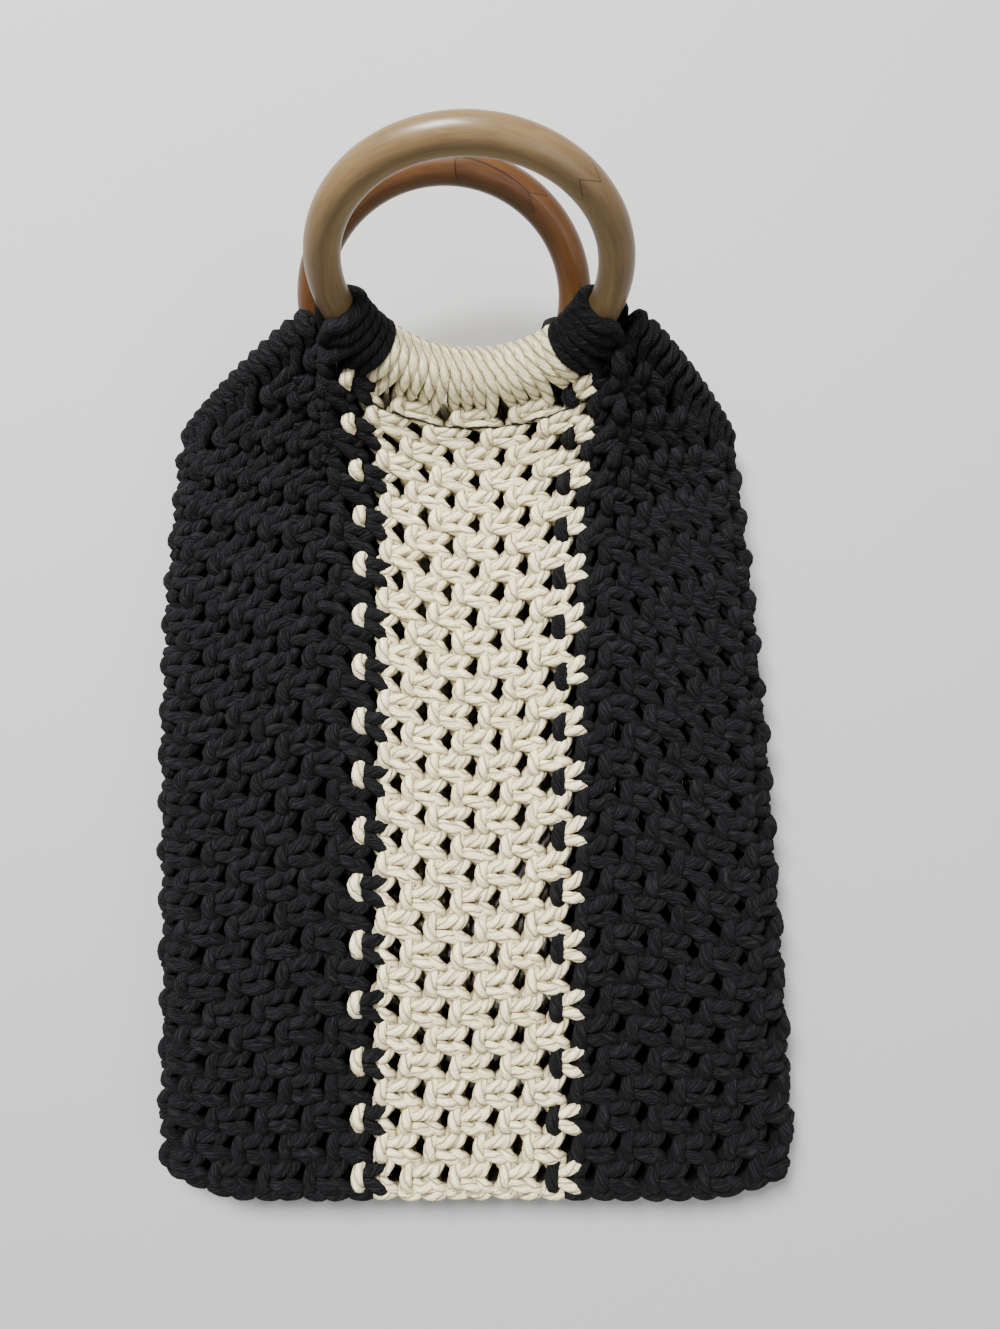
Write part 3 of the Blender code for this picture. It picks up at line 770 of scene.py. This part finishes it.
INSERT_MIDDLE = 0.2
INSERT_BOW = 0.3
INSERT_SLANT = 0.94
INSERT_SPLIT = 0.19
INSERT_DARKER = 0.2
GRAIN_ALONG = 14.0
GRAIN_ACROSS = 3.2
GRAIN = Noise(2.2, 6.0, 0.62, 0.4)
PORES = Noise(9.0, 3.0)
WOOD_BLOTCHES = Noise(60.0, 2.0)
GRAIN_SHARE = 1.1
WOOD_BLOTCH_SHARE = 0.5
LIGHTER_BY = 0.35
PORE_HEIGHT = 0.4


class Graph:
    """Short calls for adding and linking shader nodes."""

    def __init__(self, tree):
        self.tree = tree

    def node(self, kind, **settings):
        made = self.tree.nodes.new(kind)
        inputs = settings.pop("inputs", {})
        for key, value in settings.items():
            setattr(made, key, value)
        for key, value in inputs.items():
            if isinstance(value, bpy.types.NodeSocket):
                self.tree.links.new(value, made.inputs[key])
            else:
                made.inputs[key].default_value = value
        return made

    def math(self, operation, a, b=0.0, c=0.0):
        return self.node("ShaderNodeMath", operation=operation, inputs={0: a, 1: b, 2: c}).outputs[0]

    def mix(self, share, a, b):
        made = self.node("ShaderNodeMix", data_type="RGBA", inputs={"Factor": share})
        for socket, value in ((made.inputs[6], a), (made.inputs[7], b)):
            if isinstance(value, bpy.types.NodeSocket):
                self.tree.links.new(value, socket)
            else:
                socket.default_value = value
        return made.outputs[2]

    def noise(self, place, noise, dimensions="3D"):
        inputs = {"Vector": place, "Scale": noise.scale, "Detail": noise.detail,
                  "Roughness": noise.roughness, "Distortion": noise.distortion}
        return self.node("ShaderNodeTexNoise", noise_dimensions=dimensions, inputs=inputs).outputs["Fac"]

    def fade(self, value, ends, most=1.0):
        """0 at the first end, rising smoothly to most at the second."""
        made = self.node("ShaderNodeMapRange", interpolation_type="SMOOTHSTEP",
                         inputs={"Value": value, "From Min": ends[0], "From Max": ends[1], "To Max": most})
        return made.outputs[0]


def opaque(colour):
    return (*colour, 1.0)


def set_inputs(node, values):
    """Sets a node's inputs by name; a colour gets its alpha."""
    for name, value in values.items():
        node.inputs[name].default_value = opaque(value) if isinstance(value, tuple) else value


def new_group(name, colours=(), numbers=(), colours_out=(), numbers_out=()):
    """A node group with named sockets: its graph, its input node and its output node."""
    tree = bpy.data.node_groups.new(name, "ShaderNodeTree")
    for words, kind, in_out in ((colours, "Color", "INPUT"), (numbers, "Float", "INPUT"),
                                (colours_out, "Color", "OUTPUT"), (numbers_out, "Float", "OUTPUT")):
        for word in words:
            tree.interface.new_socket(word, in_out=in_out, socket_type="NodeSocket" + kind)
    graph = Graph(tree)
    return graph, graph.node("NodeGroupInput").outputs, graph.node("NodeGroupOutput").inputs


def new_material(name):
    """A material, its graph and its surface node."""
    material = bpy.data.materials.new(name)
    material.use_nodes = True
    return material, Graph(material.node_tree), material.node_tree.nodes["Principled BSDF"]


def make_laid_cord_group():
    """The surface of laid cord: three plies that wind round it with painted shade between them, fibres along
    each ply, uneven colour, and painted shade where it lies deep in the bag's wall."""
    graph, given, made = new_group("laid_cord", ("Colour", "Groove shade colour", "Fibre colour", "Inside shade colour"),
                                   ("Plies per diameter", "Fuzz", "Fibres"), ("Colour",), ("Height",))
    uv = graph.node("ShaderNodeUVMap", uv_map="along_and_round")
    parts = graph.node("ShaderNodeSeparateXYZ", inputs={0: uv.outputs[0]})
    along, around = parts.outputs[0], parts.outputs[1]
    place = graph.node("ShaderNodeTexCoord").outputs["Object"]
    depth = graph.node("ShaderNodeAttribute", attribute_name="depth").outputs["Fac"]
    ragged = graph.noise(place, RAGGED)
    twist = graph.math("MULTIPLY", along, given["Plies per diameter"])
    phase = graph.math("ADD", graph.math("MULTIPLY", around, PLIES), twist)
    phase = graph.math("ADD", phase, graph.math("MULTIPLY", ragged, RAGGEDNESS))
    centred = graph.math("SUBTRACT", graph.math("MULTIPLY", graph.math("FRACT", phase), 2.0), 1.0)
    fall = graph.math("POWER", graph.math("ABSOLUTE", centred), PLY_FLATNESS)
    ply = graph.math("SQRT", graph.math("MAXIMUM", graph.math("SUBTRACT", 1.0, fall), 0.0))
    lines = graph.node("ShaderNodeCombineXYZ", inputs={0: graph.math("MULTIPLY", phase, FIBRES_PER_PLY),
                                                       1: graph.math("MULTIPLY", along, FIBRES_ALONG)})
    fibres = graph.noise(lines.outputs[0], FIBRE_NOISE, "2D")
    fuzz = graph.noise(place, FUZZ)
    blotches = graph.noise(place, BLOTCHES)
    # Painted shade in the grooves between the plies
    colour = graph.mix(graph.math("POWER", ply, PLY_SHADE_CONTRAST), given["Groove shade colour"], given["Colour"])
    hairs = graph.math("MULTIPLY", graph.fade(fibres, HAIR_RANGE), given["Fibres"])
    colour = graph.mix(hairs, colour, given["Fibre colour"])
    # Painted shade on the parts of a cord that lie deep in the wall
    colour = graph.mix(graph.fade(depth, GROOVE_SHADE_DEPTHS, GROOVE_SHADE_SHARE), colour, given["Groove shade colour"])
    uneven = graph.math("ADD", DARKEST_BLOTCH, graph.math("MULTIPLY", blotches, BLOTCH_RANGE))
    colour = graph.node("ShaderNodeHueSaturation", inputs={"Color": colour, "Value": uneven}).outputs[0]
    # Painted shade, nearly black, on the parts of a cord that lie deepest in the wall
    colour = graph.mix(graph.fade(depth, INSIDE_SHADE_DEPTHS), colour, given["Inside shade colour"])
    height = graph.math("ADD", ply, graph.math("MULTIPLY", fibres, FIBRE_HEIGHT))
    height = graph.math("ADD", height, graph.math("MULTIPLY", fuzz, given["Fuzz"]))
    graph.tree.links.new(colour, made["Colour"])
    graph.tree.links.new(height, made["Height"])
    return graph.tree


def make_fold_shadow_group():
    """A painted shadow: the thin dark line where the front's first row of knots folds over the second. It
    follows y = FOLD_AT + FOLD_BOW * x * x, made uneven by noise, on the front only."""
    graph, _, made = new_group("fold_shadow_line", numbers_out=("Shade",))
    place = graph.node("ShaderNodeTexCoord").outputs["Object"]
    parts = graph.node("ShaderNodeSeparateXYZ", inputs={0: place})
    across, along, height = parts.outputs[0], parts.outputs[1], parts.outputs[2]
    uneven = graph.noise(place, FOLD_NOISE)
    line = graph.math("MULTIPLY_ADD", graph.math("MULTIPLY", across, across), FOLD_BOW, FOLD_AT)
    line = graph.math("MULTIPLY_ADD", uneven, FOLD_UNEVEN, line)
    off = graph.math("ABSOLUTE", graph.math("SUBTRACT", along, line))
    shade = graph.node("ShaderNodeMapRange", inputs={"Value": off, "From Min": FOLD_WIDTH / 4,
                                                     "From Max": FOLD_WIDTH, "To Min": 1.0, "To Max": 0.0})
    front = graph.math("GREATER_THAN", height, FOLD_ABOVE)
    graph.tree.links.new(graph.math("MULTIPLY", shade.outputs[0], front), made["Shade"])
    return graph.tree


def cord_material(name, group, finish_and_shade, fold_shadow_group=None):
    material, graph, shader = new_material(name)
    surface = graph.node("ShaderNodeGroup", node_tree=group)
    set_inputs(surface, {"Colour": finish_and_shade.colour, "Groove shade colour": finish_and_shade.groove,
                         "Fibre colour": finish_and_shade.fibre, "Inside shade colour": finish_and_shade.inside,
                         "Plies per diameter": PLIES_PER_DIAMETER, "Fuzz": finish_and_shade.fuzz,
                         "Fibres": finish_and_shade.fibres})
    bump = graph.node("ShaderNodeBump", inputs={"Strength": CORD_BUMP_STRENGTH, "Distance": finish_and_shade.bump,
                                                "Height": surface.outputs["Height"]})
    colour = surface.outputs["Colour"]
    if fold_shadow_group:
        fold = graph.node("ShaderNodeGroup", node_tree=fold_shadow_group)
        # Painted shadow of the fold, on the cream only
        colour = graph.mix(fold.outputs["Shade"], colour, opaque(FOLD_SHADOW_COLOUR))
    graph.tree.links.new(colour, shader.inputs["Base Color"])
    graph.tree.links.new(bump.outputs[0], shader.inputs["Normal"])
    set_inputs(shader, {**CORD_SURFACE, "Sheen Weight": finish_and_shade.sheen, "Sheen Tint": finish_and_shade.sheen_tint})
    return material


def make_scarf_group():
    """The joint of a bent wood ring: a jagged line across the bar. Where there is an insert, a bowed line
    crosses the bar further on, a line along the bar joins the two, and the wood inside them is darker."""
    graph, given, made = new_group("scarf_joint", numbers=("Along", "Round", "Joint at", "Insert length"),
                                   numbers_out=("Line", "Insert"))
    length = given["Insert length"]
    bar = graph.math("WRAP", given["Round"], BAR_FROM + 1.0, BAR_FROM)
    from_joint = graph.math("SUBTRACT", given["Along"], given["Joint at"])
    teeth = graph.math("PINGPONG", graph.math("MULTIPLY", bar, JOINT_TEETH), 1.0)
    past_joint = graph.math("MULTIPLY_ADD", teeth, JOINT_TOOTH, from_joint)
    bow = graph.math("POWER", graph.math("ABSOLUTE", graph.math("SUBTRACT", bar, INSERT_MIDDLE)), 2.0)
    past_end = graph.math("SUBTRACT", graph.math("MULTIPLY_ADD", bow, INSERT_BOW, from_joint), length)
    split = graph.math("ADD", graph.math("MULTIPLY_ADD", from_joint, INSERT_SLANT, bar), -INSERT_SPLIT)
    has_insert = graph.math("GREATER_THAN", length, 0.0)
    after_joint = graph.math("GREATER_THAN", past_joint, 0.0)
    before_end = graph.math("LESS_THAN", past_end, 0.0)
    inside = graph.math("MULTIPLY", graph.math("MULTIPLY", after_joint, before_end), has_insert)
    split_width = JOINT_WIDTH * RING_RADIUS / (RING_WIRE / 2)
    joint_line = graph.math("LESS_THAN", graph.math("ABSOLUTE", past_joint), JOINT_WIDTH)
    end_line = graph.math("LESS_THAN", graph.math("ABSOLUTE", past_end), JOINT_WIDTH)
    split_line = graph.math("LESS_THAN", graph.math("ABSOLUTE", split), split_width)
    line = graph.math("MAXIMUM", joint_line, graph.math("MULTIPLY", end_line, has_insert))
    line = graph.math("MAXIMUM", line, graph.math("MULTIPLY", split_line, inside))
    insert = graph.math("MULTIPLY", inside, graph.math("GREATER_THAN", split, 0.0))
    graph.tree.links.new(line, made["Line"])
    graph.tree.links.new(insert, made["Insert"])
    return graph.tree


def make_grain_group(scarf_group):
    """Wood grain that follows the ring, with its joint."""
    graph, given, made = new_group("ring_grain", ("Light", "Dark"), ("Joint at", "Insert length"),
                                   ("Colour",), ("Height",))
    place = graph.node("ShaderNodeTexCoord").outputs["Object"]
    uv = graph.node("ShaderNodeUVMap", uv_map="along_and_round")
    parts = graph.node("ShaderNodeSeparateXYZ", inputs={0: uv.outputs[0]})
    along, around = parts.outputs[0], parts.outputs[1]
    turn = graph.math("MULTIPLY", around, 2 * math.pi)
    stretched = graph.math("MULTIPLY", along, GRAIN_ALONG)
    out = graph.math("MULTIPLY", graph.math("SINE", turn), GRAIN_ACROSS)
    over = graph.math("MULTIPLY", graph.math("COSINE", turn), GRAIN_ACROSS)
    lines = graph.node("ShaderNodeCombineXYZ", inputs={0: stretched, 1: out, 2: over}).outputs[0]
    grain = graph.noise(lines, GRAIN)
    pores = graph.noise(lines, PORES)
    blotches = graph.noise(place, WOOD_BLOTCHES)
    scarf = graph.node("ShaderNodeGroup", node_tree=scarf_group,
                       inputs={"Along": along, "Round": around, "Joint at": given["Joint at"],
                               "Insert length": given["Insert length"]})
    line = scarf.outputs["Line"]
    share = graph.math("MULTIPLY", grain, GRAIN_SHARE)
    share = graph.math("MULTIPLY_ADD", blotches, WOOD_BLOTCH_SHARE, share)
    share = graph.math("SUBTRACT", share, LIGHTER_BY)
    share = graph.math("MULTIPLY_ADD", scarf.outputs["Insert"], INSERT_DARKER, share)
    colour = graph.mix(share, given["Light"], given["Dark"])
    dark_line = graph.mix(JOINT_BLACK_SHARE, given["Dark"], opaque(JOINT_COLOUR))
    colour = graph.mix(graph.math("MULTIPLY", line, JOINT_DARKNESS), colour, dark_line)
    height = graph.math("SUBTRACT", graph.math("MULTIPLY", pores, PORE_HEIGHT), line)
    graph.tree.links.new(colour, made["Colour"])
    graph.tree.links.new(height, made["Height"])
    return graph.tree


def wood_material(name, group, wood):
    material, graph, shader = new_material(name)
    surface = graph.node("ShaderNodeGroup", node_tree=group)
    set_inputs(surface, {"Light": wood.light, "Dark": wood.dark, "Joint at": JOINT_AT,
                         "Insert length": wood.insert_length})
    bump = graph.node("ShaderNodeBump", inputs={**WOOD_BUMP, "Height": surface.outputs["Height"]})
    graph.tree.links.new(surface.outputs["Colour"], shader.inputs["Base Color"])
    graph.tree.links.new(bump.outputs[0], shader.inputs["Normal"])
    set_inputs(shader, WOOD_SURFACE)
    return material


# Floor, light and camera


def make_floor():
    mesh = bpy.data.meshes.new("floor")
    corners = [(x * FLOOR_HALF, y * FLOOR_HALF, 0.0) for x, y in ((-1, -1), (1, -1), (1, 1), (-1, 1))]
    mesh.from_pydata(corners, [], [(0, 1, 2, 3)])
    floor = bpy.data.objects.new("floor", mesh)
    bpy.context.scene.collection.objects.link(floor)
    material, _, shader = new_material("floor")
    set_inputs(shader, {"Base Color": FLOOR_COLOUR, "Roughness": FLOOR_ROUGHNESS})
    mesh.materials.append(material)


def make_light(name, settings):
    data = bpy.data.lights.new(name, "AREA")
    data.energy = settings.power
    data.size = settings.size
    light = bpy.data.objects.new(name, data)
    light.location = settings.at
    direction = -np.array(settings.at)
    pitch = math.acos(-direction[2] / np.linalg.norm(direction))
    light.rotation_euler = (pitch, 0.0, math.atan2(direction[1], direction[0]) - QUARTER)
    bpy.context.scene.collection.objects.link(light)


def make_lights():
    world = bpy.data.worlds.new("studio")
    world.use_nodes = True
    set_inputs(world.node_tree.nodes["Background"], {"Color": SKY_COLOUR, "Strength": SKY_STRENGTH})
    bpy.context.scene.world = world
    make_light("key", KEY_LIGHT)
    make_light("fill", FILL_LIGHT)


def make_camera():
    data = bpy.data.cameras.new("camera")
    data.sensor_width = SENSOR
    data.lens = LENS
    camera = bpy.data.objects.new("camera", data)
    camera.location = CAMERA_AT
    bpy.context.scene.collection.objects.link(camera)
    bpy.context.scene.camera = camera


def build():
    make_camera()
    cord_group = make_laid_cord_group()
    grain_group = make_grain_group(make_scarf_group())
    cream = cord_material("cream_cord", cord_group, CREAM_FINISH_AND_SHADE, make_fold_shadow_group())
    black = cord_material("black_cord", cord_group, BLACK_FINISH_AND_SHADE)
    make_cords("cords_cream_front", CREAM_FRONT_COLUMNS, CREAM_RADIUS, cream,
               ["panel_cream_front", "wrap_cream_front", "seam_cream"])
    make_cords("cords_cream_back", CREAM_BACK_COLUMNS, CREAM_RADIUS, cream,
               ["panel_cream_back", "wrap_cream_back"])
    for side, word in ((-1, "left"), (1, "right")):
        front_nodes = [f"side_black_{word}", f"shoulder_front_{word}", f"wrap_black_front_{word}",
                       f"seam_black_{word}"]
        make_cords(f"cords_black_front_{word}", side * BLACK_FRONT_COLUMNS, BLACK_RADIUS, black,
                   front_nodes, cores=[("front", side)])
        back_nodes = [f"shoulder_back_{word}", f"wrap_black_back_{word}"]
        make_cords(f"cords_black_back_{word}", side * BLACK_BACK_COLUMNS, BLACK_RADIUS, black,
                   back_nodes, cores=[("back", side)])
    olive = wood_material("front_ring_wood", grain_group, OLIVE_WOOD)
    orange = wood_material("back_ring_wood", grain_group, ORANGE_WOOD)
    make_ring("front_ring", HANDLES["front"], olive, "ring_front")
    make_ring("back_ring", HANDLES["back"], orange, "ring_back")
    make_floor()
    make_lights()


build()
